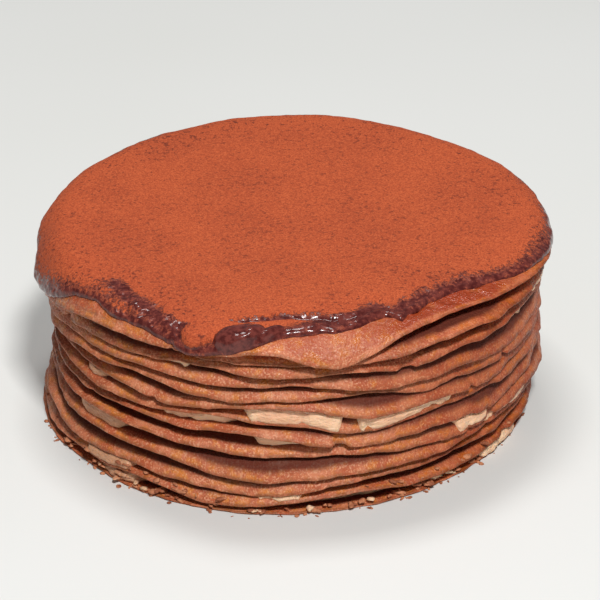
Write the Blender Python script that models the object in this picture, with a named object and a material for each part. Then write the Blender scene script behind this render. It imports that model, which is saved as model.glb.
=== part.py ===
"""Chocolate crepe cake: a round stack of thin crepes whose edges droop, cream spread between them, and a
ganache top that runs over the rim. Metres, +Z up, origin under the middle of the cake.

Angles are in degrees about +Z, from +X; -90 is the front. Layers are counted from 0 at the bottom."""

import math
import random

import bpy
import numpy as np

# Driving dimensions
CREPES = 13
CREPE_THICKNESS = 0.0012
LOWEST_PITCH = 0.0077  # height of the lowest crepe and the cream on it
HIGHEST_PITCH = 0.0048  # the same for the last cream, which is spread thinner
CREPE_RADIUS = 0.0990
TOP_FLARE = 0.0045  # the top crepe reaches this much further out than the bottom one
TOP_SHIFT = (0.0053, 0.0)  # the stack leans this far from its foot to its top
GANACHE_THICKNESS = 0.0034
CREAM_RECESS = 0.0070  # how far the cream stops short of the crepes' edge
GAP = 0.0004  # between pieces that touch
CENTRE = (0.0002, 0.0004)  # moves the whole cake, so that the origin is under the middle of its outline

# The bend: crepes are flat inside BEND_RADIUS, and their droop is stated at DROOP_RADIUS
BEND_RADIUS = 0.086
DROOP_RADIUS = 0.100
BASE_DROOP = 0.0048
LEAST_CREAM = 0.0010  # cream that stays between two crepes where the upper one droops most
TILT = (0.0034, -15)  # the middle crepes droop this much more at this angle, and less across from it

SEGMENTS = 44
ANGLES = np.linspace(0.0, 2 * math.pi, SEGMENTS, endpoint=False)

# Where the edges sag most: (layer, angle, layers reached, degrees reached, depth in metres)
SAGS = (
    (12, -172, 3.0, 23, 0.0092),
    (12, -81, 0.9, 11, 0.0036),
    (12, -94, 0.6, 8, -0.0028),
    (12, -56, 1.2, 16, -0.0052),
    (12, -26, 1.3, 20, -0.0058),
    (10.2, -46, 0.7, 27, -0.0052),
    (12, 90, 1.8, 62, -0.0040),
    (11, -122, 1.2, 15, 0.0010),
    (10, -62, 0.7, 9, 0.0022),
    (9, -30, 2.1, 24, 0.0052),
    (9, -62, 1.4, 12, 0.0026),
    (7, -50, 1.3, 20, 0.0016),
    (7, -116, 0.7, 8, 0.0026),
    (6, -72, 0.9, 11, 0.0036),
    (5, -36, 1.2, 15, 0.0048),
    (4, -56, 1.4, 22, 0.0030),
    (3, -86, 1.2, 24, 0.0034),
    (2, -102, 1.0, 14, 0.0034),
    (6, 120, 2.5, 30, 0.0024),
    (7, -92, 0.8, 12, -0.0022),
    (6, -110, 0.6, 12, -0.0020),
    (5, -95, 0.8, 14, -0.0026),
    (4, -128, 1.0, 14, -0.0030),
    (8, -125, 0.8, 13, -0.0018),
    (2, -73, 0.9, 12, -0.0024),
)

# Where the stack bulges: (layer, angle, layers reached, degrees reached, metres out)
BULGES = (
    (5.4, -178, 3.4, 30, -0.0036),
    (4, -178, 0.8, 14, -0.0012),
    (3.5, 2, 4.5, 27, 0.0050),
    (10, 2, 2.0, 22, 0.0012),
    (12, -52, 0.35, 14, -0.0065),
    (11, -130, 0.35, 15, -0.0060),
)

# Where cream is pressed out: (layer, angle, degrees reached, metres past its usual outline)
SQUEEZES = (
    (6, -90, 12, 0.0064),
    (6, -62, 13, 0.0066),
    (9, -120, 6, 0.0050),
    (10, -144, 6, 0.0052),
    (8, -148, 7, 0.0054),
    (5, -114, 9, 0.0040),
    (4, -90, 9, 0.0044),
    (4, -44, 6, 0.0064),
    (6, -139, 6, 0.0040),
    (3, -140, 8, 0.0050),
    (3, -30, 12, 0.0062),
    (1, -93, 6, 0.0066),
    (1, -136, 8, 0.0070),
    (0, -134, 7, 0.0066),
    (0, -29, 10, 0.0066),
    (9, -26, 6, 0.0046),
    (10, -12, 7, 0.0064),
    (2, 35, 10, 0.0062),
    (7, 75, 9, 0.0066),
    (10, 20, 8, 0.0060),
    (5, 140, 11, 0.0064),
    (8, 110, 8, 0.0058),
    (3, 95, 9, 0.0062),
)

# Ganache: (angle, how far it reaches past the top crepe's edge); below zero it leaves that much crepe bare
GANACHE_EDGE = (
    (-180, -0.0005), (-166, 0.0006), (-156, -0.0015), (-148, -0.0055), (-141, -0.0070), (-134, -0.0036),
    (-125, -0.0038), (-119, -0.0020), (-113, 0.0010), (-109, 0.0012), (-104, 0.0002), (-99, -0.0014),
    (-95, -0.0055), (-90, -0.0100), (-84, -0.0130), (-78, -0.0134), (-74, -0.0124), (-70, -0.0138),
    (-66, -0.0126), (-63.5, -0.0072), (-61, -0.0092), (-55, -0.0093), (-47, -0.0103), (-41, -0.0105),
    (-36, -0.0087), (-30, -0.0058), (-24, -0.0034), (-16, -0.0014), (-5, -0.0006), (20, 0.0), (28, 0.0012),
    (34, 0.0042), (41, 0.0010), (60, 0.0014), (74, 0.0018), (82, 0.0034), (90, 0.0018), (120, 0.0014),
    (126, 0.0020), (131, 0.0046), (137, 0.0014), (160, -0.0002), (180, -0.0005),
)
# Where its edge is a thick bead: (angle, degrees reached, how much further it sticks out)
BEADS = (
    (-168, 24, 0.0006),
    (-113, 7, 0.0010),
    (-101, 7, 0.0030),
    (-88, 8, 0.0008),
    (34, 9, 0.0014),
    (82, 12, 0.0010),
    (131, 8, 0.0016),
)
SHORT = 0.0016  # where it stops this short of the crepe's edge it lies on the crepe, elsewhere it hangs over
LEAST_HANG = 0.0007
LEAST_LIP = 0.0010
SHOULDER = 0.0030  # how far inside the rim the ganache starts to round over

CREPE_COLOUR = (0.42, 0.15, 0.062, 1.0)
CREAM_COLOUR = (0.62, 0.36, 0.22, 1.0)
GANACHE_COLOUR = (0.055, 0.018, 0.014, 1.0)


def waves(seed, size, orders=(2, 3, 5, 8)):
    """A wavy line round the cake: a few cosines with seeded phases."""
    dice = random.Random(seed)
    line = np.zeros_like(ANGLES)
    for order in orders:
        height = dice.uniform(0.4, 1.0) / order**0.5
        line += height * np.cos(order * ANGLES + dice.uniform(0.0, 2 * math.pi))
    return size * line


def hump(angle, reach):
    """1 at the angle, falling away over reach on both sides."""
    away = (ANGLES - math.radians(angle) + math.pi) % (2 * math.pi) - math.pi
    return np.exp(-((away / math.radians(reach)) ** 2))


def lean(layer):
    """How much further out a layer reaches at each angle because the stack leans."""
    short_of_top = layer / (CREPES - 1) - 1
    return short_of_top * (TOP_SHIFT[0] * np.cos(ANGLES) + TOP_SHIFT[1] * np.sin(ANGLES))


def crepe_levels():
    """Each crepe's height above the base in the middle of the cake."""
    levels = [0.0]
    for layer in range(CREPES - 1):
        levels.append(levels[-1] + LOWEST_PITCH + (HIGHEST_PITCH - LOWEST_PITCH) * layer / (CREPES - 2))
    return levels


def local(features, layer):
    """The sum of the features near a layer, each falling away over its layers and its degrees."""
    total = 0.0 * ANGLES
    for at_layer, angle, layers, reach, depth in features:
        total = total + depth * math.exp(-(((layer - at_layer) / layers) ** 2)) * hump(angle, reach)
    return total


def crepe_rims():
    """The edge's distance from the axis at each angle, for each crepe."""
    rims = []
    for layer in range(CREPES):
        flare = TOP_FLARE * (layer / (CREPES - 1)) ** 8
        rims.append(CREPE_RADIUS + flare + lean(layer) + local(BULGES, layer) + waves(100 + layer, 0.00075))
    return rims


def crepe_droops():
    """How far each crepe's edge has sunk at DROOP_RADIUS. It never sinks into the cream below."""
    droops = [np.zeros_like(ANGLES)]
    for layer in range(1, CREPES):
        middle = math.exp(-(((layer - 6) / 3.5) ** 2))
        tilt = TILT[0] * middle * np.cos(ANGLES - math.radians(TILT[1]))
        base = BASE_DROOP * (1 - math.exp(-layer / 1.3))
        wanted = base + tilt + local(SAGS, layer) + waves(200 + layer, 0.0007)
        room = levels[layer] - levels[layer - 1] - CREPE_THICKNESS - 2 * GAP - LEAST_CREAM
        droops.append(np.clip(wanted, 0.0, droops[-1] + room))
    return droops


def sunk(droop, radius):
    """The droop at a radius: none inside the bend, then straight down and out."""
    return droop * np.maximum(0.0, (radius - BEND_RADIUS) / (DROOP_RADIUS - BEND_RADIUS))


def slack(droop, space):
    """How much further a cream edge keeps from a crepe where the droop changes fast from angle to angle."""
    change = np.maximum(abs(droop - np.roll(droop, 1)), abs(droop - np.roll(droop, -1)))
    return np.minimum(0.25 * change, 0.3 * space)


def loft(name, rings, material):
    """A closed solid round the axis. Each ring is (radius, height) at every angle, from the top's middle out
    and back in under it; the first and the last are single points on the axis. The sections differ at each
    angle, which is why no modifier can turn them. Quads are split along the same diagonal above and below,
    so that pieces on each other stay GAP apart."""
    top, *between, bottom = rings
    points = [(*CENTRE, top)]
    reach = []
    for radius, height in between:
        radius, height = np.broadcast_arrays(radius, height, ANGLES)[:2]
        ring = CENTRE[0] + radius * np.cos(ANGLES), CENTRE[1] + radius * np.sin(ANGLES), height
        points += np.transpose(ring).tolist()
        reach.append(radius.mean())
    points.append((*CENTRE, bottom))

    faces = []
    last_ring = 1 + (len(between) - 1) * SEGMENTS
    for i in range(SEGMENTS):
        j = (i + 1) % SEGMENTS
        faces.append((0, 1 + i, 1 + j))
        for ring in range(len(between) - 1):
            this = 1 + ring * SEGMENTS
            following = this + SEGMENTS
            if reach[ring + 1] >= reach[ring]:
                faces.append((this + i, following + i, following + j))
                faces.append((this + i, following + j, this + j))
            else:
                faces.append((this + i, following + i, this + j))
                faces.append((following + i, following + j, this + j))
        faces.append((last_ring + i, len(points) - 1, last_ring + j))

    mesh = bpy.data.meshes.new(name)
    mesh.from_pydata(points, [], faces)
    mesh.materials.append(material)
    solid = bpy.data.objects.new(name, mesh)
    cake.objects.link(solid)
    return solid


def food(name, colour, roughness):
    material = bpy.data.materials.new(name)
    material.use_nodes = True
    shader = material.node_tree.nodes["Principled BSDF"]
    shader.inputs["Base Color"].default_value = colour
    shader.inputs["Roughness"].default_value = roughness
    shader.inputs["Metallic"].default_value = 0.0
    return material


def make_crepe(layer, material):
    rim = rims[layer]
    under = levels[layer]
    over = under + CREPE_THICKNESS
    sink = sunk(droops[layer], rim)
    rings = [over, (BEND_RADIUS, over), (rim, over - sink), (rim, under - sink), (BEND_RADIUS, under), under]
    return loft(f"crepe_{layer + 1:02d}", rings, material)


def make_cream(layer, material):
    """Cream fills the space between a crepe and the next one, out to its own uneven edge."""
    edge = np.minimum(rims[layer], rims[layer + 1]) - CREAM_RECESS + waves(300 + layer, 0.0007)
    for at_layer, angle, reach, out in SQUEEZES:
        if at_layer == layer:
            edge = edge + out * hump(angle, reach)
    under = levels[layer] + CREPE_THICKNESS + GAP
    over = levels[layer + 1] - GAP
    low = under - sunk(droops[layer], edge)
    high = over - sunk(droops[layer + 1], edge)
    space = high - low
    high = high - slack(droops[layer + 1], space)
    low = low + slack(droops[layer], space)
    rings = [over, (BEND_RADIUS, over), (edge, high), (edge, low), (BEND_RADIUS, under), under]
    return loft(f"cream_{layer + 1:02d}", rings, material)


def make_ganache(material):
    """Ganache lies on the top crepe. It hangs over the edge in places and stops short of it in others."""
    top = CREPES - 1
    degrees = (np.degrees(ANGLES) + 180) % 360 - 180
    reach = np.interp(degrees, [place[0] for place in GANACHE_EDGE], [place[1] for place in GANACHE_EDGE])
    lip = LEAST_LIP + 0.0 * ANGLES
    for angle, degrees_reached, swell in BEADS:
        lip = lip + swell * hump(angle, degrees_reached)
    short = reach < -SHORT
    lying = short | np.roll(short, 1) | np.roll(short, -1)
    stop = rims[top] + GAP + np.where(short, reach, 0.0)
    stop = np.maximum(stop, BEND_RADIUS + 0.0012)

    crepe_top = levels[top] + CREPE_THICKNESS
    under = crepe_top + GAP
    over = under + GANACHE_THICKNESS
    surface = crepe_top - sunk(droops[top], stop)
    hang = np.where(lying, 0.0, LEAST_HANG + np.maximum(reach, 0.0))
    lift = np.where(lying, GAP + 1.4 * slack(droops[top], 2 * GANACHE_THICKNESS), 0.0)
    shoulder = np.maximum(stop - SHOULDER, BEND_RADIUS + 0.3 * (stop - BEND_RADIUS))
    rings = [
        over,
        (0.98 * BEND_RADIUS, over),
        (shoulder, over - sunk(droops[top], shoulder)),
        (stop + 0.7 * lip, surface + lift + 0.65 * GANACHE_THICKNESS),
        (stop + lip, surface + lift + 0.25 * GANACHE_THICKNESS * lying),
        (stop + 0.8 * lip, surface + lift - hang),
        (stop + 0.4 * lip * lying, surface + lift - hang),
        (stop, surface + np.where(lying, lift, GAP)),
        (BEND_RADIUS, under),
        under,
    ]
    return loft("ganache", rings, material)


for old in list(bpy.data.objects):
    bpy.data.objects.remove(old)

cake = bpy.data.collections.new("crepe cake")
bpy.context.scene.collection.children.link(cake)

levels = crepe_levels()
rims = crepe_rims()
droops = crepe_droops()

crepe_material = food("crepe", CREPE_COLOUR, 0.55)
cream_material = food("cream", CREAM_COLOUR, 0.45)
ganache_material = food("ganache", GANACHE_COLOUR, 0.25)

for layer in range(CREPES):
    make_crepe(layer, crepe_material)
for layer in range(CREPES - 1):
    make_cream(layer, cream_material)
make_ganache(ganache_material)
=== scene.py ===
"""Looks of the chocolate crepe cake. The crepes, the cream and the ganache are closed meshes built from the
same levels, rims and droops as the CAD model, on a fine grid of angles. Metres, +Z up.

Angles are in degrees about +Z, from +X; -90 is the front. Layers are counted from 0 at the bottom."""

import math
import random

import bmesh
import bpy
import numpy as np
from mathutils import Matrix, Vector


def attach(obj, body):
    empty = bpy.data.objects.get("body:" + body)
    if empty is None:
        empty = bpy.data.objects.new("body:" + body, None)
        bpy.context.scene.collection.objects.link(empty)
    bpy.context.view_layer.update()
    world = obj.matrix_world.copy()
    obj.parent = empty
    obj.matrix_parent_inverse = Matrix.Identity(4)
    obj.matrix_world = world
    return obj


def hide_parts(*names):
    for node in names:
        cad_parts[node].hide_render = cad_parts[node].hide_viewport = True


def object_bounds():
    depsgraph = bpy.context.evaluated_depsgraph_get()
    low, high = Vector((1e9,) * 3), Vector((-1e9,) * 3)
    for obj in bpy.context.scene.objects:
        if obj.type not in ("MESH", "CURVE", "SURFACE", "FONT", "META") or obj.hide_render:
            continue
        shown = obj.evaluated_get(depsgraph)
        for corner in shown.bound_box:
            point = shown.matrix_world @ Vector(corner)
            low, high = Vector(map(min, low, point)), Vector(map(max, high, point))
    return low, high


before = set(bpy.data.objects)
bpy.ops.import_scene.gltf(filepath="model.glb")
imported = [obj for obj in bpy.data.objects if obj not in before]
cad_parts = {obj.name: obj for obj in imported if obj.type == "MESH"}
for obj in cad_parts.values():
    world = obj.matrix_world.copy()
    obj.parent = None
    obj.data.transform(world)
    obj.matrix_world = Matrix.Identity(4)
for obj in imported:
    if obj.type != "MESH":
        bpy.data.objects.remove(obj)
cad_box = [[float(x) for x in corner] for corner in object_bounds()]

# The layers, as in the CAD model
CREPES = 13
CREPE_THICKNESS = 0.0012
LOWEST_PITCH = 0.0077  # height of the lowest crepe and the cream on it
HIGHEST_PITCH = 0.0048  # the same for the last cream, which is spread thinner
CREPE_RADIUS = 0.0990
TOP_FLARE = 0.0045  # the top crepe reaches this much further out than the bottom one
TOP_SHIFT = (0.0053, 0.0)  # the stack leans this far from its foot to its top
GANACHE_THICKNESS = 0.0034
CREAM_RECESS = 0.0070  # how far the cream stops short of the crepes' edge
GAP = 0.0004  # between the CAD model's pieces
CENTRE = (0.0002, 0.0004)  # moves the whole cake, so that the origin is under the middle of its outline
BEND_RADIUS = 0.086  # the CAD model's crepes are flat inside it
DROOP_RADIUS = 0.100  # where a crepe's droop is stated
BASE_DROOP = 0.0048
LEAST_CREAM = 0.0010  # cream that stays between two crepes where the upper one droops most
TILT = (0.0034, -15)  # the middle crepes droop this much more at this angle, and less across from it

# The finer shape of the visible pieces
HALF_THICKNESS = 0.00058  # of a crepe
EDGE_THINNING = 0.00030  # how much of that is gone at its edge
CURL = math.radians(67)  # how steep a crepe's edge gets when it droops
FLATTEN = 0.0084  # how far from its edge a crepe starts to bend
TOP_CURL = math.radians(54)  # the same for the top crepe
TOP_FLATTEN = 0.0120
CREAM_INSET = 0.0004  # from the middle of a crepe to the hidden faces of the cream
CREAM_EDGE_INSET = 0.0005  # the same at the cream's edge
BEND_SAMPLES = 50  # of the ganache's path over the top crepe's bend
FALL_STEPS = 12  # how many steps that path goes on past the crepe's edge
FALL_STEP = 0.0008  # how long each is
FALL_TURN = 0.16  # how fast the path turns down there

COLUMNS = 720  # of each mesh, round the cake
ANGLES = np.linspace(0.0, 2 * math.pi, COLUMNS, endpoint=False)
CIRCLE = 0.1 * np.cos(ANGLES), 0.1 * np.sin(ANGLES)  # noise along the edge is read here, without a seam

# Where the edges sag most: (layer, angle, layers reached, degrees reached, depth in metres)
SAGS = (
    (12, -172, 3.0, 23, 0.0092),
    (12, -81, 0.9, 11, 0.0036),
    (12, -94, 0.6, 8, -0.0028),
    (12, -56, 1.2, 16, -0.0052),
    (12, -26, 1.3, 20, -0.0058),
    (10.2, -46, 0.7, 27, -0.0052),
    (12, 90, 1.8, 62, -0.0040),
    (11, -122, 1.2, 15, 0.0010),
    (10, -62, 0.7, 9, 0.0022),
    (9, -30, 2.1, 24, 0.0052),
    (9, -62, 1.4, 12, 0.0026),
    (7, -50, 1.3, 20, 0.0016),
    (7, -116, 0.7, 8, 0.0026),
    (6, -72, 0.9, 11, 0.0036),
    (5, -36, 1.2, 15, 0.0048),
    (4, -56, 1.4, 22, 0.0030),
    (3, -86, 1.2, 24, 0.0034),
    (2, -102, 1.0, 14, 0.0034),
    (6, 120, 2.5, 30, 0.0024),
    (7, -92, 0.8, 12, -0.0022),
    (6, -110, 0.6, 12, -0.0020),
    (5, -95, 0.8, 14, -0.0026),
    (4, -128, 1.0, 14, -0.0030),
    (8, -125, 0.8, 13, -0.0018),
    (2, -73, 0.9, 12, -0.0024),
)

# Where the stack bulges: (layer, angle, layers reached, degrees reached, metres out)
BULGES = (
    (5.4, -178, 3.4, 30, -0.0036),
    (4, -178, 0.8, 14, -0.0012),
    (3.5, 2, 4.5, 27, 0.0050),
    (10, 2, 2.0, 22, 0.0012),
    (12, -52, 0.35, 14, -0.0065),
    (11, -130, 0.35, 15, -0.0060),
)

# Where cream is pressed out: (layer, angle, degrees reached, metres past its usual outline)
SQUEEZES = (
    (6, -90, 12, 0.0064),
    (6, -62, 13, 0.0066),
    (9, -120, 6, 0.0050),
    (10, -144, 6, 0.0052),
    (8, -148, 7, 0.0054),
    (5, -114, 9, 0.0040),
    (4, -90, 9, 0.0044),
    (4, -44, 6, 0.0064),
    (6, -139, 6, 0.0040),
    (3, -140, 8, 0.0050),
    (3, -30, 12, 0.0062),
    (1, -93, 6, 0.0066),
    (1, -136, 8, 0.0070),
    (0, -134, 7, 0.0066),
    (0, -29, 10, 0.0066),
    (9, -26, 6, 0.0046),
    (10, -12, 7, 0.0064),
    (2, 35, 10, 0.0062),
    (7, 75, 9, 0.0066),
    (10, 20, 8, 0.0060),
    (5, 140, 11, 0.0064),
    (8, 110, 8, 0.0058),
    (3, 95, 9, 0.0062),
)

# Ganache: (angle, how far it reaches past the top crepe's edge); below zero it leaves that much crepe bare
GANACHE_EDGE = (
    (-180, -0.0005), (-166, 0.0006), (-156, -0.0015), (-148, -0.0055), (-141, -0.0070), (-134, -0.0036),
    (-125, -0.0038), (-119, -0.0020), (-113, 0.0010), (-109, 0.0012), (-104, 0.0002), (-99, -0.0014),
    (-95, -0.0055), (-90, -0.0100), (-84, -0.0130), (-78, -0.0134), (-74, -0.0124), (-70, -0.0138),
    (-66, -0.0126), (-63.5, -0.0072), (-61, -0.0092), (-55, -0.0093), (-47, -0.0103), (-41, -0.0105),
    (-36, -0.0087), (-30, -0.0058), (-24, -0.0034), (-16, -0.0014), (-5, -0.0006), (20, 0.0), (28, 0.0012),
    (34, 0.0042), (41, 0.0010), (60, 0.0014), (74, 0.0018), (82, 0.0034), (90, 0.0018), (120, 0.0014),
    (126, 0.0020), (131, 0.0046), (137, 0.0014), (160, -0.0002), (180, -0.0005),
)
# Where its edge is a thick bead: (angle, degrees reached, metres thicker)
BEADS = (
    (-112, 4, 0.0008),
    (-101, 4.5, 0.0014),
    (-88, 8, 0.0008),
    (-72, 7, 0.0004),
    (-42, 22, 0.0008),
    (34, 6, 0.0010),
    (131, 6, 0.0012),
)
# Bare ganache, without cocoa: (angle, degrees reached, distance from the edge, width of the band, how bare)
BARE = (
    (-158, 22, 0.000, 0.0085, 0.62),
    (-129, 10, 0.000, 0.0036, 0.80),
    (-140, 5, 0.0100, 0.0035, 0.75),
    (-134, 5, 0.0095, 0.0035, 0.80),
    (-128, 5, 0.0080, 0.0040, 0.85),
    (-121, 5, 0.0060, 0.0035, 0.75),
    (-116, 4, 0.0068, 0.0030, 0.60),
    (-100, 10, 0.000, 0.0034, 1.6),
    (-80, 10, 0.002, 0.0066, 1.7),
    (-66, 10, 0.002, 0.0062, 1.6),
    (-42, 24, 0.000, 0.0080, 1.0),
    (-4, 20, 0.000, 0.0095, 0.8),
    (34, 10, 0.000, 0.0060, 0.9),
    (84, 14, 0.000, 0.0040, 0.6),
    (131, 10, 0.000, 0.0070, 1.0),
)
# Ganache soaked into the top crepe's bare edge: (angle, degrees reached, how much)
SOAKED = (
    (-50, 20, 1.4),
    (-86, 8, 0.35),
    (20, 12, 0.5),
    (100, 16, 0.6),
    (-140, 15, 0.55),
)
# Round lumps on the ganache: (angle, degrees reached, distance from the edge, width)
LOBE = (-111.5, 3.6, 0.0066, 0.0042)  # covered with cocoa, inside an outline that isn't
LOBE_HEIGHT = 0.0020
BLOB = (-102.0, 5.4, 0.0056, 0.0056)  # bare, like the smaller ones beside it
BLOB_HEIGHT = 0.0042
SMALL_BLOBS = (
    (0.0022, (-95.0, 2.8, 0.0036, 0.0032)),
    (0.0012, (-98.6, 2.2, 0.0060, 0.0026)),
)


def hashed(x, y, z, seed):
    """A number from 0 to 1 for each cell of a lattice."""
    bits = (x * 374761393 + y * 668265263 + z * 2147483647 + seed * 974634777) & 0xFFFFFFFF
    bits = ((bits ^ (bits >> 13)) * 1274126177) & 0xFFFFFFFF
    return ((bits ^ (bits >> 16)) & 0xFFFF) / 65535.0


def noise(points, size, seed=0, octaves=1):
    """Smooth noise from about -1 to 1, with features of this size in metres."""
    total, weight, most = 0.0, 1.0, 0.0
    for octave in range(octaves):
        place = np.asarray(points) / size * 2**octave
        cell = np.floor(place).astype(np.int64)
        part = place - cell
        part = part * part * (3 - 2 * part)
        value = 0.0
        for corner in range(8):
            step = (corner & 1, corner >> 1 & 1, corner >> 2)
            share = 1.0
            for axis in range(3):
                share = share * (part[..., axis] if step[axis] else 1 - part[..., axis])
            x, y, z = (cell[..., axis] + step[axis] for axis in range(3))
            value = value + share * hashed(x, y, z, seed + octave)
        total = total + weight * (2 * value - 1)
        most += weight
        weight *= 0.5
    return total / most


def around(size, seed, octaves=2):
    """Noise along the edge of the cake, with features of this size in metres."""
    circle = np.stack([*CIRCLE, 0.0 * ANGLES + 0.037 * seed], axis=-1)
    return noise(circle, size, seed, octaves)


def smooth(value, low, high):
    """0 below low, 1 above high, smooth between."""
    part = np.clip((value - low) / (high - low), 0.0, 1.0)
    return part * part * (3 - 2 * part)


def waves(seed, size, orders=(2, 3, 5, 8)):
    """A wavy line round the cake: a few cosines with seeded phases."""
    dice = random.Random(seed)
    line = np.zeros_like(ANGLES)
    for order in orders:
        height = dice.uniform(0.4, 1.0) / order**0.5
        line += height * np.cos(order * ANGLES + dice.uniform(0.0, 2 * math.pi))
    return size * line


def hump(angle, reach):
    """1 at the angle, falling away over reach on both sides."""
    away = (ANGLES - math.radians(angle) + math.pi) % (2 * math.pi) - math.pi
    return np.exp(-((away / math.radians(reach)) ** 2))


def local(features, layer):
    """The sum of the features near a layer, each falling away over its layers and its degrees."""
    total = 0.0 * ANGLES
    for at_layer, angle, layers, reach, depth in features:
        total = total + depth * math.exp(-(((layer - at_layer) / layers) ** 2)) * hump(angle, reach)
    return total


def crepe_levels():
    """Each crepe's height above the base in the middle of the cake."""
    levels = [0.0]
    for layer in range(CREPES - 1):
        levels.append(levels[-1] + LOWEST_PITCH + (HIGHEST_PITCH - LOWEST_PITCH) * layer / (CREPES - 2))
    return levels


def crepe_rims():
    """Edge radii at each angle: the CAD model's, with a ragged edge."""
    rims = []
    for layer in range(CREPES):
        short_of_top = layer / (CREPES - 1) - 1
        lean = short_of_top * (TOP_SHIFT[0] * np.cos(ANGLES) + TOP_SHIFT[1] * np.sin(ANGLES))
        flare = TOP_FLARE * (layer / (CREPES - 1)) ** 8
        rim = CREPE_RADIUS + flare + lean + local(BULGES, layer) + waves(100 + layer, 0.00075)
        ragged = 0.0022 * around(0.032, 400 + layer, 3) + 0.00045 * around(0.0055, 440 + layer)
        nick = 0.0014 * smooth(around(0.009, 480 + layer, 1), 0.70, 0.90)
        rims.append(rim + ragged - nick)
    return rims


def crepe_droops():
    """How far each crepe's edge has sunk at DROOP_RADIUS: the CAD model's, with finer waves."""
    droops = [np.zeros_like(ANGLES)]
    for layer in range(1, CREPES):
        middle = math.exp(-(((layer - 6) / 3.5) ** 2))
        tilt = TILT[0] * middle * np.cos(ANGLES - math.radians(TILT[1]))
        base = BASE_DROOP * (1 - math.exp(-layer / 1.3))
        wanted = base + tilt + local(SAGS, layer) + waves(200 + layer, 0.0007)
        fine = 0.0024 * around(0.030, 500 + layer, 3) + 0.0004 * around(0.009, 540 + layer)
        fine = fine * (0.4 if layer == CREPES - 1 else 1.0)
        room = levels[layer] - levels[layer - 1] - CREPE_THICKNESS - 2 * GAP - LEAST_CREAM
        droops.append(np.clip(wanted + fine, 0.0, droops[-1] + room))
    return droops


def sunk(droop, radius):
    """The droop at a radius: none inside the bend, then straight down and out."""
    return droop * np.maximum(0.0, (radius - BEND_RADIUS) / (DROOP_RADIUS - BEND_RADIUS))


class Bend:
    """How one crepe curves down at each angle: level in the middle, ever steeper towards its edge."""

    def __init__(self, layer):
        near_top = max(0.0, layer - CREPES + 3) / 2  # 1 for the top crepe, 0 from the third below it
        self.level = levels[layer] + CREPE_THICKNESS / 2
        self.rim = rims[layer]
        curl = CURL + 0.16 * around(0.05, 620 + layer) - 0.26 * hump(-32, 32)
        self.curl = curl + (TOP_CURL - curl) * near_top
        flatten = FLATTEN + (TOP_FLATTEN - FLATTEN) * near_top
        self.start = self.rim - flatten - 0.0020 * around(0.05, 600 + layer)
        self.sink = sunk(droops[layer], self.rim)

    def at(self, share):
        """Radius and height of the middle of the sheet: share 0 is where it starts to bend and 1 its edge."""
        turn = share * self.curl
        radius = self.start + (self.rim - self.start) * np.sin(turn) / np.sin(self.curl)
        return radius, self.level - self.sink * (1 - np.cos(turn)) / (1 - np.cos(self.curl))

    def height(self, radius):
        """The height of the middle of the sheet at a radius."""
        out = np.clip((radius - self.start) / (self.rim - self.start), 0.0, 1.0)
        turn = np.arcsin(out * np.sin(self.curl))
        return self.level - self.sink * (1 - np.cos(turn)) / (1 - np.cos(self.curl))


def new_piece(mesh, material):
    """An object in the scene, named as its mesh."""
    mesh.materials.append(material)
    piece = bpy.data.objects.new(mesh.name, mesh)
    bpy.context.scene.collection.objects.link(piece)
    return piece


def ring_mesh(name, radii, heights, attributes, material):
    """A closed mesh round the axis from rings of radii and heights; the first and last rings are the axis.
    Attributes have a value, or three, at each ring and column."""
    radii, heights = np.array(radii), np.array(heights)
    points = np.stack([CENTRE[0] + radii * np.cos(ANGLES), CENTRE[1] + radii * np.sin(ANGLES), heights], -1)
    body = points[1:-1].reshape(-1, 3)
    vertices = np.concatenate([points[0].mean(0)[None], body, points[-1].mean(0)[None]])
    i = np.arange(COLUMNS)
    j = (i + 1) % COLUMNS
    faces = np.stack([0 * i, 1 + i, 1 + j], -1).tolist()
    for ring in range(len(radii) - 3):
        near = 1 + ring * COLUMNS
        far = near + COLUMNS
        faces += np.stack([near + i, far + i, far + j, near + j], -1).tolist()
    last = 1 + (len(radii) - 3) * COLUMNS
    faces += np.stack([last + i, 0 * i + len(vertices) - 1, last + j], -1).tolist()
    mesh = bpy.data.meshes.new(name)
    mesh.from_pydata(vertices.tolist(), [], faces)
    for key, values in attributes.items():
        values = np.broadcast_to(np.array(values, dtype=float), radii.shape + np.shape(values)[2:])
        flat = np.concatenate([values[0].mean(0)[None], values[1:-1].reshape(-1, *values.shape[2:]),
                               values[-1].mean(0)[None]])
        if flat.ndim == 2:
            mesh.attributes.new(key, "FLOAT_VECTOR", "POINT").data.foreach_set("vector", flat.ravel())
        else:
            mesh.attributes.new(key, "FLOAT", "POINT").data.foreach_set("value", flat)
    mesh.shade_smooth()
    return new_piece(mesh, material)


def hand_over(piece, slot, *nodes):
    """Fixes a piece to the cake and hides the CAD nodes it stands for; the slot is not used."""
    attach(piece, "root")
    if nodes:
        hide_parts(*nodes)


def path_lengths(radii, heights):
    """Length along each column from the first ring."""
    steps = np.hypot(np.diff(radii, axis=0), np.diff(heights, axis=0))
    return np.concatenate([np.zeros((1, radii.shape[1])), np.cumsum(steps, axis=0)])


def normals(radii, heights):
    """The direction out of the upper side of a path that runs outwards, at each ring and column."""
    out, up = np.gradient(radii, axis=0), np.gradient(heights, axis=0)
    size = np.maximum(np.hypot(out, up), 1e-9)
    return -up / size, out / size


def on_skin(lengths, layer):
    """Coordinates that run round the cake and along the crepe, for materials. They have no seam."""
    x, y = (np.broadcast_to(side, lengths.shape) for side in CIRCLE)
    return np.stack([x, y, lengths + 0.05 * layer], -1)


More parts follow.
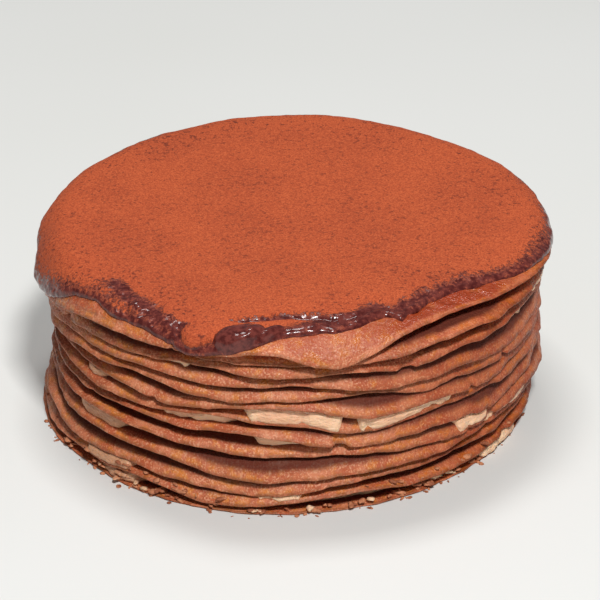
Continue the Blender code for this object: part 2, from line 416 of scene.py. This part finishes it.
def make_crepe(layer, material):
    """A crepe: a thin sheet with a curled, ragged edge, bumpy on top and smoother below."""
    bend = bends[layer]
    shares = 1 - np.linspace(1.0, 0.0, 16) ** 1.25
    path = [(share * bend.start, bend.level + 0.0 * ANGLES) for share in (0.0, 0.6, 0.84, 0.90, 0.95)]
    path += [bend.at(share) for share in shares]
    radii, heights = np.array([p[0] for p in path]), np.array([p[1] for p in path])
    lengths = path_lengths(radii, heights)
    from_edge = lengths[-1] - lengths
    out, up = normals(radii, heights)
    out[:2], up[:2] = 0.0, 1.0
    place = np.stack([radii * np.cos(ANGLES), radii * np.sin(ANGLES), heights], -1)
    thick = HALF_THICKNESS - EDGE_THINNING * np.exp(-from_edge / 0.0025)
    bumps = 0.00022 * noise(place, 0.0042, 31 + layer, 2) * smooth(from_edge, 0.0, 0.0015)
    ruffle = 0.00026 * around(0.0032, 700 + layer, 2) * np.exp(-from_edge / 0.005)
    if layer == CREPES - 1:
        wet = 0.0011 * hump(-46, 18) + 0.0009 * hump(-60, 7)
        bumps = bumps + wet * noise(place, 0.0058, 57, 3) * smooth(from_edge, 0.0, 0.002)
    top = thick + bumps + ruffle
    under = thick - 0.5 * bumps - ruffle
    tip_r = radii[-1] + 0.00018 * out[-1] + 0.00022 * up[-1]
    tip_z = heights[-1] - 0.00022 * out[-1]

    # Over the top, round the tip and back on the underside, which needs fewer rings
    keep = [len(path) - 1 - k for k in (0, 2, 5, 8, 11, 15, 19)] + [0]
    ring_r = list(radii + top * out) + [tip_r] + [(radii - under * out)[k] for k in keep]
    ring_z = list(heights + top * up) + [tip_z] + [(heights - under * up)[k] for k in keep]
    ring_z = [np.maximum(z, 0.0) for z in ring_z]
    skin = on_skin(from_edge, layer)
    skins = list(skin) + [skin[-1]] + [skin[k] for k in keep]
    edge = np.array(list(from_edge) + [0.0 * ANGLES] + [from_edge[k] for k in keep])
    attributes = {"skin": np.array(skins), "from_edge": edge}
    if layer < CREPES - 1:  # painted shade: darker where the next crepe covers it
        attributes["painted_shade"] = smooth(edge, 0.0026, 0.0054)
    if layer == CREPES - 3:  # painted shade nearly to its edge at the front left
        shade = smooth(edge, 0.0016, 0.0034) * smooth(hump(-126, 22), 0.2, 0.7)
        attributes["painted_shade"] = np.maximum(attributes["painted_shade"], shade)
    if layer == CREPES - 1:
        soak = sum(amount * hump(angle, reach) for angle, reach, amount in SOAKED)
        attributes["soak"] = np.clip(soak * smooth(edge, 0.0012, 0.0036), 0, 1)
    piece = ring_mesh(f"crepe_sheet_{layer + 1:02d}", ring_r, ring_z, attributes, material)
    hand_over(piece, "crepe", f"crepe_{layer + 1:02d}")


def make_cream(layer, material):
    """Cream fills the space between a crepe and the next. Its soft edge is uneven, and lumpy where
    it is pressed out."""
    edge = np.minimum(rims[layer], rims[layer + 1]) - CREAM_RECESS + waves(300 + layer, 0.0007)
    pressed = 0.0 * ANGLES
    for at_layer, angle, reach, out in SQUEEZES:
        if at_layer == layer:
            uneven = hump(angle, reach) + 0.20 * around(0.006, 820 + layer)
            pressed = pressed + (out + 0.0006) * smooth(uneven, 0.14, 0.55)
    swollen = smooth(pressed, 0.0, 0.004)
    proud = smooth(pressed, 0.0055, 0.0072)
    lumps = 0.0012 * around(0.011, 800 + layer, 3) + 0.0009 * around(0.0035, 860 + layer, 2) * swollen
    lumps = lumps + 0.0045 * smooth(around(0.03, 840 + layer, 2), 0.35, 0.8)
    edge = edge + pressed + lumps * (0.45 + 0.3 * swollen)
    edge = np.minimum(edge, np.minimum(rims[layer] - 0.0004, rims[layer + 1] + 0.0008) + 0.0016 * proud)
    low = bends[layer].height(edge) + CREAM_EDGE_INSET
    high = bends[layer + 1].height(edge) - CREAM_EDGE_INSET
    tall = np.maximum(high - low, 0.0002)
    bulge = 0.0010 * (0.4 + swollen) * (1 + 0.6 * around(0.006, 880 + layer, 2))

    # Over the top, down the rounded edge and back underneath
    top = levels[layer + 1] + 0.0 * ANGLES
    bottom = levels[layer] + CREPE_THICKNESS - 0.0001 + 0.0 * ANGLES
    near, deep = edge - 0.0022, edge - 0.006
    radii = [0.0 * ANGLES, 0.6 * edge, deep, near]
    heights = [top, top] + [bends[layer + 1].height(radius) - CREAM_INSET for radius in (deep, near)]
    for share in (1.0, 0.88, 0.7, 0.5, 0.3, 0.12, 0.0):
        rounding = (4 * share * (1 - share)) ** 0.5
        radii.append(edge - bulge * (1 - rounding) + 0.0018 * proud * (0.5 - share))
        heights.append(low + share * tall)
    radii += [deep, 0.6 * edge, 0.0 * ANGLES]
    heights += [bends[layer].height(deep) + CREAM_INSET, bottom, bottom]
    piece = ring_mesh(f"cream_layer_{layer + 1:02d}", radii, heights, {}, material)
    hand_over(piece, "cream", f"cream_{layer + 1:02d}")


def away_squared(degrees, from_end, lump):
    """How far each place on the ganache is from a lump's middle, squared. It is 1 at the lump's edge."""
    angle, reach, middle, width = lump
    return ((degrees - angle) / reach) ** 2 + ((from_end - middle) / width) ** 2


def dome(degrees, from_end, lump):
    """A half ball on the ganache, from 0 at its edge to 1."""
    return np.sqrt(np.maximum(0.0, 1 - away_squared(degrees, from_end, lump)))


def ganache_path(bend):
    """The middle of the top crepe from the axis to its edge, then on past it, turning down."""
    samples = [(0.0 * ANGLES, bend.level + 0.0 * ANGLES)]
    samples += [bend.at(share) for share in np.linspace(0, 1, BEND_SAMPLES)]
    radii, heights = np.array([s[0] for s in samples]), np.array([s[1] for s in samples])
    slope_r, slope_z = radii[-1] - radii[-2], heights[-1] - heights[-2]
    size = np.hypot(slope_r, slope_z)
    for _ in range(FALL_STEPS):
        slope_z = slope_z - FALL_TURN * size
        grown = np.hypot(slope_r, slope_z)
        slope_r, slope_z = slope_r * size / grown, slope_z * size / grown
        step = FALL_STEP / size
        radii = np.vstack([radii, radii[-1] + slope_r * step])
        heights = np.vstack([heights, heights[-1] + slope_z * step])
    return radii, heights


def ganache_surface(place, degrees, from_end, steepness):
    """The ganache's relief in metres, and its cocoa: 1 where it is covered and 0 where it is bare."""
    bare = 0.0
    for angle, reach, middle, band, strength in BARE:
        bare = bare + strength * hump(angle, reach) * np.exp(-(((from_end - middle) / band) ** 2))
    steep = smooth(steepness, 0.45, 0.90) * np.exp(-from_end / 0.008)
    drifting = 0.30 * noise(place, 0.012, 5, 3) * np.exp(-from_end / 0.03)
    lobe = dome(degrees, from_end, LOBE)
    blob = dome(degrees, from_end, BLOB)
    blobs = BLOB_HEIGHT * blob
    for height, lump in SMALL_BLOBS:
        blobs = blobs + height * dome(degrees, from_end, lump)
    from_lobe = np.sqrt(away_squared(degrees, from_end, LOBE))
    outline = np.exp(-(((from_lobe - 1.25) / 0.22) ** 2)) * smooth(-degrees - 900 * from_end, 101.0, 108.0)
    dust = 1.0 - bare - 0.60 * np.exp(-from_end / 0.0018) - 0.6 * steep
    dust = np.clip(dust + drifting + 1.3 * lobe - 0.75 * outline, 0.0, 1.0)

    # The fold along the front: a groove with a ridge behind it
    fold_at = 0.0054 + 0.0100 * np.clip((-74 - degrees) / 24, 0, 1)
    fold_at = fold_at + 0.0007 * around(0.02, 903)
    along_fold = smooth(hump(-89, 20), 0.25, 0.75)
    fold = along_fold * np.exp(-(((from_end - fold_at) / 0.0011) ** 2))
    ridge = along_fold * np.exp(-(((from_end - fold_at - 0.0022) / 0.0014) ** 2))

    lumpy = hump(-129, 11) * np.exp(-(((from_end - 0.005) / 0.009) ** 2))
    wrinkles = np.stack([CIRCLE[0] + 0 * from_end, CIRCLE[1] + 0 * from_end, 3.5 * from_end], -1)
    wrinkled = 0.00075 * (1 - dust) * (1 - 0.6 * blob) * noise(wrinkles, 0.0062, 9, 3)
    relief = 0.00030 * noise(place, 0.028, 6, 2) + 0.00010 * dust * noise(place, 0.0019, 7, 2)
    relief = relief + lumpy * (0.0014 * noise(place, 0.0046, 8, 2) + 0.0008 * noise(place, 0.0022, 12, 1))
    relief = relief + 0.0010 * ridge - 0.0011 * fold + LOBE_HEIGHT * lobe - 0.0005 * outline + blobs
    relief = relief + wrinkled * smooth(from_end, 0.0, 0.003)
    dust = np.clip(dust - 1.1 * fold - 0.25 * ridge - 1.4 * np.minimum(blobs / 0.001, 1), -0.3, 1.0)
    return relief, dust


def make_ganache(material):
    """Ganache coats the top crepe: level on top, thinner over the bend, ending in a rounded bead."""
    radii, heights = ganache_path(bends[-1])
    lengths = path_lengths(radii, heights)
    degrees = (np.degrees(ANGLES) + 180) % 360 - 180
    end = np.interp(degrees, [place[0] for place in GANACHE_EDGE], [place[1] for place in GANACHE_EDGE])
    end = end + 0.0008 * around(0.02, 900) + 0.0005 * around(0.006, 901)
    stop = lengths[BEND_SAMPLES] + end

    # Rings at these distances from the edge, closest together near it, and on to the axis
    near = np.array([0.0, 0.00012, 0.0003, 0.0006, 0.001, 0.0014, 0.0019, 0.0024, 0.003])
    distances = np.concatenate([near, np.arange(0.0037, 0.030, 0.00072)])
    inner = np.linspace(1.0, 0.0, 84)[1:]
    from_end = np.concatenate([
        np.broadcast_to(distances[:, None], (len(distances), COLUMNS)),
        distances[-1] + (stop - distances[-1]) * (1 - inner[:, None]),
    ])[::-1]
    along = stop - from_end
    place_r, place_z, out, up = (np.empty_like(along) for _ in range(4))
    path_out, path_up = normals(radii, heights)
    path_out[:2], path_up[:2] = 0.0, 1.0
    for column in range(COLUMNS):
        for result, source in ((place_r, radii), (place_z, heights), (out, path_out), (up, path_up)):
            result[:, column] = np.interp(along[:, column], lengths[:, column], source[:, column])
    size = np.hypot(out, up)
    out, up = out / size, up / size

    # Thickness: flat on top, a thin neck over the bend and a bead at the edge
    neck = 0.0036 - 0.0015 * hump(-80, 52) + 0.0012 * hump(90, 60)
    bead = 0.0018 + 0.0004 * around(0.015, 902) + 0.0007 * hump(-95, 24) * around(0.007, 904, 1)
    for angle, reach, more in BEADS:
        bead = bead + more * hump(angle, reach)
    bead = np.maximum(bead, 0.85 * neck)
    width = np.minimum(1.1 * bead, 0.0042)
    flat = GANACHE_THICKNESS + CREPE_THICKNESS / 2 + 0.0002
    front_right = hump(-42, 22)
    on_top = smooth(from_end, 0.008 - 0.007 * front_right, 0.024 - 0.015 * front_right)
    at_edge = np.exp(-((np.maximum(from_end - width, 0.0) / 0.0028) ** 2))
    thick = neck + (flat - neck) * on_top + (bead - neck) * at_edge
    rounding = np.clip(from_end / width, 0.0, 1.0)
    thick = thick * np.sqrt(np.maximum(0.0, 1 - (1 - rounding) ** 2))
    place = np.stack([place_r * np.cos(ANGLES), place_r * np.sin(ANGLES), place_z], -1)
    relief, dust = ganache_surface(place, degrees, from_end, out)
    thick = thick + smooth(from_end, 0.0003, 0.0022) * relief
    outer_r, outer_z = place_r + thick * out, place_z + thick * up
    highest = cad_box[1][2] - 0.0003
    outer_z = np.where(outer_z > highest, highest + 0.6 * (outer_z - highest), outer_z)

    # The underside, inside the crepe, needs fewer rings
    under = [len(along) - 1 - k for k in (2, 5, 9, 16, 30)] + [20, 0]
    ring_r = list(outer_r) + [(place_r + 0.00002 * out)[k] for k in under]
    ring_z = list(outer_z) + [(place_z + 0.00002 * up)[k] for k in under]
    ring_r[0] = 0.0 * ANGLES
    shade = list(dust) + [0.0 * ANGLES for _ in under]
    rim = list(from_end) + [from_end[k] for k in under]
    attributes = {"dust": np.array(shade), "from_edge": np.array(rim)}
    piece = ring_mesh("ganache_top", ring_r, ring_z, attributes, material)
    hand_over(piece, "ganache", "ganache")


def make_crumbs(name, material, slot, count, seed, spread):
    """Crumbs: small lumps, each a distorted ball, as one mesh. spread gives each one's place and size."""
    dice = random.Random(seed)
    vertices, faces = [], []
    ball = bpy.data.meshes.new("ball")
    form = bmesh.new()
    bmesh.ops.create_icosphere(form, subdivisions=2, radius=1.0)
    form.to_mesh(ball)
    form.free()
    shape = np.array([v.co for v in ball.vertices])
    sides = np.array([p.vertices for p in ball.polygons])
    bpy.data.meshes.remove(ball)
    for index in range(count):
        (x, y, z), size = spread(dice)
        stretch = np.array([dice.uniform(0.7, 1.7), dice.uniform(0.5, 1.1), dice.uniform(0.25, 0.6)])
        lump = shape * (1 + 0.8 * noise(shape + 7.3 * index, 0.8, seed, 2))[:, None] * stretch * size
        turn = dice.uniform(0.0, 2 * math.pi)
        lump = np.stack([lump[:, 0] * math.cos(turn) - lump[:, 1] * math.sin(turn),
                         lump[:, 0] * math.sin(turn) + lump[:, 1] * math.cos(turn), lump[:, 2]], -1)
        lump[:, 2] = np.maximum(lump[:, 2], -0.7 * size * stretch[2])
        base = len(vertices) * len(shape)
        vertices.append(lump + (x, y, z + 0.7 * size * stretch[2]))
        faces.append(sides + base)
    mesh = bpy.data.meshes.new(name)
    mesh.from_pydata(np.concatenate(vertices).tolist(), [], np.concatenate(faces).tolist())
    mesh.shade_smooth()
    hand_over(new_piece(mesh, material), slot)


def column_at(angle):
    return int(angle / (2 * math.pi) * COLUMNS) % COLUMNS


def point_at(angle, away, height):
    return away * math.cos(angle), away * math.sin(angle), height


def foot_crumb(dice):
    """A loose crumb on the surface, close to the cake's foot."""
    angle = math.radians(dice.choice((dice.gauss(-95, 40), dice.uniform(-180, 180))))
    away = rims[0][column_at(angle)] + abs(dice.gauss(0.0, 0.0011))
    return point_at(angle, away, 0.0), dice.choice((0.0004, 0.0005, 0.0009))


def stuck_crumb(dice):
    """A crumb stuck to the cream between the lowest crepes."""
    middle = dice.choice((-138, -128, -100, -62, -42, 40, 130))
    angle = math.radians(dice.gauss(middle, 12))
    layer = dice.choice((0, 0, 1))
    column = column_at(angle)
    away = rims[layer][column] - dice.uniform(0.0000, 0.0022)
    low = levels[layer] - sunk(droops[layer], rims[layer])[column] + 0.0008
    return point_at(angle, away, low + dice.uniform(0.0, 0.0022)), dice.uniform(0.0006, 0.0019)


def cream_flake(dice):
    """A flake of cream stuck to the edge of the lowest crepe."""
    middle, spread = dice.choice(((-136, 5), (-94, 4), (-50, 8), (-30, 5), (60, 9), (150, 9)))
    angle = math.radians(dice.gauss(middle, spread))
    away = rims[0][column_at(angle)] - dice.uniform(0.0002, 0.0018)
    return point_at(angle, away, dice.uniform(0.0008, 0.0040)), dice.uniform(0.0009, 0.0022)


# Materials
def add(tree, kind, values=None, **settings):
    """A node with these inputs, each a value or a socket to link from, and these settings."""
    node = tree.nodes.new(kind)
    for key, value in settings.items():
        setattr(node, key, value)
    for key, value in (values or {}).items():
        if isinstance(value, bpy.types.NodeSocket):
            tree.links.new(value, node.inputs[key])
        else:
            node.inputs[key].default_value = value
    return node


def mixed(tree, factor, first, second, blend="MIX"):
    """The first colour mixed with the second, by the factor."""
    node = add(tree, "ShaderNodeMix", {0: factor, 6: first, 7: second}, data_type="RGBA", blend_type=blend)
    return node.outputs[2]


def mask(tree, value, low, high):
    """0 below low, 1 above high, smooth between."""
    node = add(tree, "ShaderNodeMapRange", {0: value, 1: low, 2: high, 3: 0.0, 4: 1.0},
               interpolation_type="SMOOTHSTEP")
    return node.outputs[0]


def grain(tree, vector, scale, detail=3.0, roughness=0.55, stretch=(1.0, 1.0, 1.0), offset=(0.0, 0.0, 0.0)):
    """Noise from 0 to 1 with this many features a metre."""
    mapping = add(tree, "ShaderNodeMapping", {"Vector": vector, "Scale": stretch, "Location": offset})
    node = add(tree, "ShaderNodeTexNoise", {"Vector": mapping.outputs[0], "Scale": scale, "Detail": detail,
                                            "Roughness": roughness})
    return node.outputs["Fac"]


def math_node(tree, operation, first, second=0.0):
    return add(tree, "ShaderNodeMath", {0: first, 1: second}, operation=operation).outputs[0]


def times(tree, first, second):
    return math_node(tree, "MULTIPLY", first, second)


def plus(tree, first, second):
    return math_node(tree, "ADD", first, second)


def minus(tree, first, second):
    return math_node(tree, "SUBTRACT", first, second)


def tinted(tree, base, where, share, tint):
    """The base with this share of a tint where the mask is 1."""
    return mixed(tree, times(tree, where, share), base, tint)


def ramp(tree, value, low, high, at_low, at_high):
    """at_low below low, at_high above high, straight between."""
    return add(tree, "ShaderNodeMapRange", {0: value, 1: low, 2: high, 3: at_low, 4: at_high}).outputs[0]


def colour(red, green, blue):
    """An sRGB colour from 0 to 255, as a linear one."""
    linear = [((c / 255 + 0.055) / 1.055) ** 2.4 if c > 10 else c / 255 / 12.92 for c in (red, green, blue)]
    return (*linear, 1.0)


def new_material(name):
    material = bpy.data.materials.new(name)
    material.use_nodes = True
    return material, material.node_tree, material.node_tree.nodes["Principled BSDF"]


def place_of(tree):
    return add(tree, "ShaderNodeTexCoord").outputs["Object"]


def attribute(tree, name, output="Fac"):
    return add(tree, "ShaderNodeAttribute", attribute_name=name).outputs[output]


def bump(tree, height, strength, distance, before=None):
    """A normal with this height map's relief, on top of the relief before."""
    values = {"Height": height, "Strength": strength, "Distance": distance}
    if before is not None:
        values["Normal"] = before
    return add(tree, "ShaderNodeBump", values).outputs["Normal"]


def crepe_material():
    """Freckled, golden in patches, browned along its rim, redder and wetter where it is soaked; with painted
    shade under the crepe above and on the right side, and pale specks that are partly painted highlights.
    """
    material, tree, shader = new_material("crepe")
    skin = attribute(tree, "skin", "Vector")
    rim = attribute(tree, "from_edge")
    patches = grain(tree, skin, 60, 4, 0.6)
    golden = grain(tree, skin, 150, 5, 0.65, offset=(0.3, 0.1, 0.2))
    freckles = grain(tree, skin, 900, 3, 0.6, offset=(0.1, 0.5, 0.7))
    pale = grain(tree, skin, 1300, 2, 0.5, offset=(0.9, 0.2, 0.4))
    streaks = grain(tree, skin, 700, 2, 0.5, stretch=(1.0, 1.0, 0.25))
    base = mixed(tree, mask(tree, patches, 0.38, 0.60), colour(206, 124, 86), colour(180, 88, 50))
    base = tinted(tree, base, mask(tree, golden, 0.48, 0.62), 0.85, colour(208, 122, 48))
    base = tinted(tree, base, mask(tree, freckles, 0.50, 0.68), 0.45, colour(158, 82, 50))
    # pale specks: partly the crepe's own paler spots, partly painted highlights
    base = tinted(tree, base, mask(tree, pale, 0.50, 0.68), 0.5, colour(238, 178, 138))
    base = tinted(tree, base, mask(tree, streaks, 0.60, 0.75), 0.35, colour(226, 168, 130))
    browned = times(tree, mask(tree, rim, 0.0016, 0.0002), mask(tree, golden, 0.35, 0.6))
    base = tinted(tree, base, browned, 0.75, colour(128, 70, 42))
    # painted shade: the right side (+X) of the cake darker and more saturated
    side = add(tree, "ShaderNodeSeparateXYZ", {0: skin}).outputs[0]
    side = times(tree, mask(tree, side, 0.015, 0.075), 0.8)
    base = mixed(tree, side, base, mixed(tree, 1.0, base, colour(224, 186, 148), "MULTIPLY"))
    # painted shade: dark red-brown where the crepe above covers this one, rougher there too
    base = tinted(tree, base, attribute(tree, "painted_shade"), 0.92, colour(84, 27, 12))
    soak = times(tree, attribute(tree, "soak"), mask(tree, patches, 0.24, 0.44))
    base = tinted(tree, base, soak, 0.85, colour(150, 54, 27))
    tree.links.new(base, shader.inputs["Base Color"])
    rough = ramp(tree, pale, 0.35, 0.65, 0.60, 0.42)
    rough = minus(tree, rough, times(tree, mask(tree, golden, 0.50, 0.66), 0.24))
    rough = minus(tree, rough, times(tree, soak, 0.28))
    rough = plus(tree, rough, times(tree, attribute(tree, "painted_shade"), 0.35))
    tree.links.new(rough, shader.inputs["Roughness"])
    pores = bump(tree, freckles, 0.8, 0.0006)
    pores = bump(tree, grain(tree, skin, 330, 3, 0.6), 0.6, 0.0011, pores)
    wrinkles = times(tree, grain(tree, skin, 200, 3, 0.55), soak)
    pores = bump(tree, wrinkles, 0.7, 0.0030, pores)
    tree.links.new(pores, shader.inputs["Normal"])
    shader.inputs["Specular IOR Level"].default_value = 0.42
    shader.inputs["Subsurface Weight"].default_value = 0.08
    shader.inputs["Subsurface Radius"].default_value = (0.0026, 0.0011, 0.0005)
    shader.inputs["Subsurface Scale"].default_value = 1.0
    return material


def cream_material():
    """Pale brown, smeared, a little translucent, with painted shade making it greyer on the left side."""
    material, tree, shader = new_material("cream")
    where = place_of(tree)
    tone = grain(tree, where, 90, 3, 0.5)
    fine = grain(tree, where, 1100, 2, 0.5, offset=(0.4, 0.2, 0.9))
    smear = grain(tree, where, 260, 3, 0.6, stretch=(1.0, 1.0, 2.2))
    base = mixed(tree, mask(tree, tone, 0.38, 0.64), colour(250, 204, 166), colour(238, 182, 144))
    base = tinted(tree, base, mask(tree, smear, 0.56, 0.74), 0.4, colour(206, 140, 104))
    base = tinted(tree, base, mask(tree, fine, 0.60, 0.72), 0.25, colour(250, 222, 196))
    # painted shade: the left side (-X) of the cake greyer
    side = add(tree, "ShaderNodeSeparateXYZ", {0: where}).outputs[0]
    side = times(tree, mask(tree, side, -0.035, -0.075), 0.8)
    base = mixed(tree, side, base, mixed(tree, 1.0, base, colour(198, 174, 158), "MULTIPLY"))
    tree.links.new(base, shader.inputs["Base Color"])
    shader.inputs["Roughness"].default_value = 0.42
    bumps = bump(tree, smear, 0.8, 0.0022)
    bumps = bump(tree, fine, 0.4, 0.0004, bumps)
    tree.links.new(bumps, shader.inputs["Normal"])
    shader.inputs["Specular IOR Level"].default_value = 0.4
    shader.inputs["Subsurface Weight"].default_value = 0.25
    shader.inputs["Subsurface Radius"].default_value = (0.0030, 0.0018, 0.0010)
    shader.inputs["Subsurface Scale"].default_value = 1.0
    return material


def ganache_material():
    """Dark with patches of painted sheen, and glossy, where bare; moist where the cocoa is thin, matt and
    powdery where it is thick.
    """
    material, tree, shader = new_material("ganache")
    where = place_of(tree)
    dust = attribute(tree, "dust")
    rim = attribute(tree, "from_edge")
    clumps = grain(tree, where, 420, 4, 0.62)
    powder = grain(tree, where, 1500, 3, 0.6, offset=(0.2, 0.7, 0.1))
    pits = grain(tree, where, 620, 3, 0.62, offset=(0.8, 0.3, 0.5))
    drift = grain(tree, where, 28, 3, 0.5)
    speckle = grain(tree, where, 900, 3, 0.65, offset=(0.6, 0.1, 0.3))
    ragged = plus(tree, times(tree, minus(tree, clumps, 0.5), 1.5),
                  times(tree, minus(tree, speckle, 0.5), 1.5))
    broken = plus(tree, times(tree, dust, 1.08), ragged)
    moist = mask(tree, broken, 0.08, 0.40)
    cover = mask(tree, broken, 0.36, 0.62)
    cocoa = mixed(tree, mask(tree, drift, 0.35, 0.65), colour(187, 84, 44), colour(178, 78, 41))
    cocoa = tinted(tree, cocoa, mask(tree, powder, 0.46, 0.60), 0.75, colour(150, 61, 32))
    cocoa = tinted(tree, cocoa, mask(tree, powder, 0.46, 0.34), 0.5, colour(205, 106, 62))
    pitted = plus(tree, pits, times(tree, minus(tree, drift, 0.5), 0.25))
    coarse = plus(tree, times(tree, mask(tree, rim, 0.034, 0.010), 0.35), 0.55)
    cocoa = tinted(tree, cocoa, mask(tree, pitted, 0.56, 0.66), coarse, colour(104, 40, 24))
    # bare ganache: dark plum-brown, its lighter mauve patches partly a painted sheen
    bare_and_sheen = mixed(tree, mask(tree, clumps, 0.35, 0.65), colour(74, 27, 25), colour(114, 54, 47))
    wet = mixed(tree, mask(tree, speckle, 0.40, 0.60), colour(108, 50, 38), colour(146, 70, 48))
    base = mixed(tree, cover, mixed(tree, moist, bare_and_sheen, wet), cocoa)
    tree.links.new(base, shader.inputs["Base Color"])
    rough = ramp(tree, moist, 0.0, 1.0, 0.15, 0.42)
    rough = plus(tree, rough, times(tree, cover, 0.42))
    tree.links.new(rough, shader.inputs["Roughness"])
    grains = times(tree, powder, cover)
    bumps = bump(tree, grains, 0.6, 0.0005)
    bumps = bump(tree, times(tree, clumps, cover), 0.5, 0.0010, bumps)
    ripples = grain(tree, where, 260, 1, 0.4, offset=(0.5, 0.9, 0.2))
    glossy = minus(tree, 1.0, cover)
    bumps = bump(tree, times(tree, ripples, glossy), 0.30, 0.0018, bumps)
    tree.links.new(bumps, shader.inputs["Normal"])
    shader.inputs["Specular IOR Level"].default_value = 0.32
    return material


def crumb_material():
    material, tree, shader = new_material("crumbs")
    where = place_of(tree)
    tone = grain(tree, where, 240, 2, 0.5)
    fine = grain(tree, where, 1600, 3, 0.6)
    base = mixed(tree, mask(tree, tone, 0.40, 0.60), colour(204, 134, 94), colour(152, 84, 52))
    base = tinted(tree, base, mask(tree, fine, 0.5, 0.7), 0.5, colour(120, 64, 42))
    tree.links.new(base, shader.inputs["Base Color"])
    shader.inputs["Roughness"].default_value = 0.7
    tree.links.new(bump(tree, fine, 0.6, 0.0004), shader.inputs["Normal"])
    return material


def floor_material():
    material, tree, shader = new_material("floor")
    cloudy = mask(tree, grain(tree, place_of(tree), 3, 2, 0.5), 0.3, 0.7)
    base = mixed(tree, cloudy, colour(219, 219, 215), colour(222, 222, 219))
    tree.links.new(base, shader.inputs["Base Color"])
    shader.inputs["Roughness"].default_value = 0.6
    return material


def area_light(name, place, target, size, power):
    """A rectangular light at a place, turned to a target."""
    lamp = bpy.data.lights.new(name, "AREA")
    lamp.shape = "RECTANGLE"
    lamp.size, lamp.size_y = size
    lamp.energy = power
    light = bpy.data.objects.new(name, lamp)
    light.location = place
    direction = np.array(target) - np.array(place)
    light.rotation_euler = Vector(direction).to_track_quat("-Z", "Y").to_euler()
    bpy.context.scene.collection.objects.link(light)


levels = crepe_levels()
rims = crepe_rims()
droops = crepe_droops()
bends = [Bend(layer) for layer in range(CREPES)]

crepe_look = crepe_material()
cream_look = cream_material()
for layer in range(CREPES):
    make_crepe(layer, crepe_look)
for layer in range(CREPES - 1):
    make_cream(layer, cream_look)
make_ganache(ganache_material())

crumb_look = crumb_material()
make_crumbs("foot_crumbs", crumb_look, "crepe", count=60, seed=11, spread=foot_crumb)
make_crumbs("stuck_crumbs", crumb_look, "crepe", count=120, seed=12, spread=stuck_crumb)
make_crumbs("cream_flakes", cream_look, "cream", count=34, seed=13, spread=cream_flake)

# Floor, light and camera
floor_mesh = bpy.data.meshes.new("floor")
floor_mesh.from_pydata([(-4, -4, 0), (4, -4, 0), (4, 4, 0), (-4, 4, 0)], [], [(0, 1, 2, 3)])
floor = new_piece(floor_mesh, floor_material())

area_light("key", place=(0.34, -1.42, 2.05), target=(0.0, 0.0, 0.04), size=(0.40, 0.34), power=54)
area_light("overhead", place=(-0.1, 0.40, 1.75), target=(0.0, 0.0, 0.05), size=(0.60, 0.45), power=13)
world = bpy.data.worlds.new("studio")
world.use_nodes = True
world.node_tree.nodes["Background"].inputs["Color"].default_value = (0.96, 0.98, 1.0, 1.0)
world.node_tree.nodes["Background"].inputs["Strength"].default_value = 0.14
bpy.context.scene.world = world

camera_data = bpy.data.cameras.new("camera")
camera_data.lens = 183.66
camera = bpy.data.objects.new("camera", camera_data)
camera.location = (0.0026, -1.1136, 0.6207)
camera.rotation_euler = (math.radians(62.55), 0.0, 0.0)
bpy.context.scene.collection.objects.link(camera)
bpy.context.scene.camera = camera
bpy.context.scene.view_settings.view_transform = "Standard"
